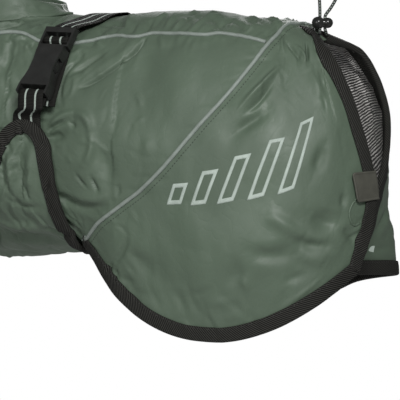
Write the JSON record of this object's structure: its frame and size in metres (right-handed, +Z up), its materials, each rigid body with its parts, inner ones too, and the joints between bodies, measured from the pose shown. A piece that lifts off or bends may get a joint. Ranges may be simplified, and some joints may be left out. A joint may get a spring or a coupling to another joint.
{
  "type": "dog winter coat",
  "caption": "Hollow winter coat for a small dog with bound hind flaps, piped seams, standing collar, belly tabs, a webbing strap with a side-release buckle and a tail cord with a lock.",
  "frame": {"origin": "under the back panel at the withers, where the coat rests on the wearer's back", "axes": "+X from the head to the tail, +Y to the wearer's right, +Z up"},
  "size_m": [0.4351, 0.2199, 0.3182],
  "materials": {
    "shell": "satin-coated polyester with fine crinkles",
    "lining": "ribbed satin",
    "binding": "ribbed twill tape",
    "piping": "pale reflective tape over a cord",
    "webbing": "woven polyester with two reflective stripes",
    "buckle": "satin moulded acetal",
    "label": "matte soft rubber, bare",
    "half_round": "pale reflective tape",
    "lock": "glossy moulded plastic",
    "cord": "braided elastic, black with pale flecks"
  },
  "bodies": {
    "root": {"back_panel": "shell", "back_piping_left": "piping", "back_piping_right": "piping", "belly_panel": "shell", "buckle_plug": "buckle", "buckle_socket": "buckle", "collar": "shell", "cord_lock": "lock", "elastic_cord": "cord", "half_round_tab": "half_round", "hind_binding_left": "binding", "hind_binding_right": "binding", "hind_lining_left": "lining", "hind_lining_right": "lining", "hind_panel_left": "shell", "hind_panel_right": "shell", "label_tab": "label", "leg_binding_left": "binding", "leg_binding_right": "binding", "side_panel_left": "shell", "side_panel_right": "shell", "strap_lower_left": "webbing", "strap_right": "webbing", "strap_upper_left": "webbing", "tab_binding_left": "binding", "tab_binding_right": "binding", "thigh_piping_left": "piping", "thigh_piping_right": "piping"}
  },
  "joints": []
}
